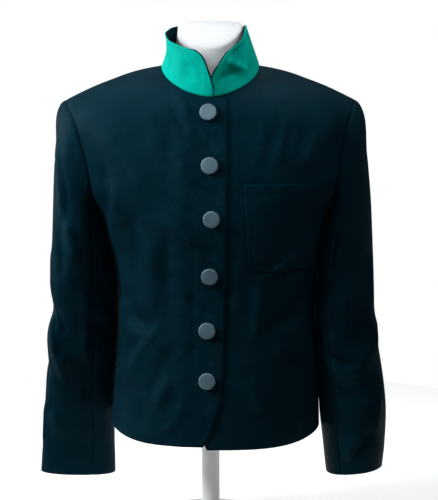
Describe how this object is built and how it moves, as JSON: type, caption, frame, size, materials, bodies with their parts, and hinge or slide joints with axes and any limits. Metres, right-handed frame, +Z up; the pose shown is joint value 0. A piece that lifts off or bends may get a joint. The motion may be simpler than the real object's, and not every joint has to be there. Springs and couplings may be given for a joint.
{
  "type": "short jacket on a limbless dress form",
  "caption": "Short stand-collar jacket with a buttoned front, one chest pocket and plain sleeves, worn by a limbless dress form on a round foot.",
  "frame": {"origin": "centre of the round foot, on its underside, where the form stands", "axes": "-Y is the front, +X runs to the wearer's left, +Z is up"},
  "size_m": [0.5409, 0.2493, 0.7924],
  "materials": {
    "front_right": "close-woven navy cloth",
    "front_left": "close-woven navy cloth",
    "back": "close-woven navy cloth",
    "sleeve_right_top": "close-woven navy cloth",
    "sleeve_right_under": "close-woven navy cloth",
    "sleeve_left_top": "close-woven navy cloth",
    "sleeve_left_under": "close-woven navy cloth",
    "collar_facing": "close-woven navy cloth",
    "pocket": "close-woven navy cloth",
    "collar": "napped green cloth",
    "button_1": "satin-covered",
    "button_2": "satin-covered",
    "button_3": "satin-covered",
    "button_4": "satin-covered",
    "button_5": "satin-covered",
    "button_6": "satin-covered",
    "dress_form": "smooth matt",
    "stand": "satin white paint"
  },
  "bodies": {
    "root": {"front_right": "front_right", "front_left": "front_left", "back": "back", "sleeve_right_top": "sleeve_right_top", "sleeve_right_under": "sleeve_right_under", "sleeve_left_top": "sleeve_left_top", "sleeve_left_under": "sleeve_left_under", "collar_facing": "collar_facing", "pocket": "pocket", "collar": "collar", "button_1": "button_1", "button_2": "button_2", "button_3": "button_3", "button_4": "button_4", "button_5": "button_5", "button_6": "button_6", "dress_form": "dress_form", "stand": "stand"}
  },
  "joints": []
}
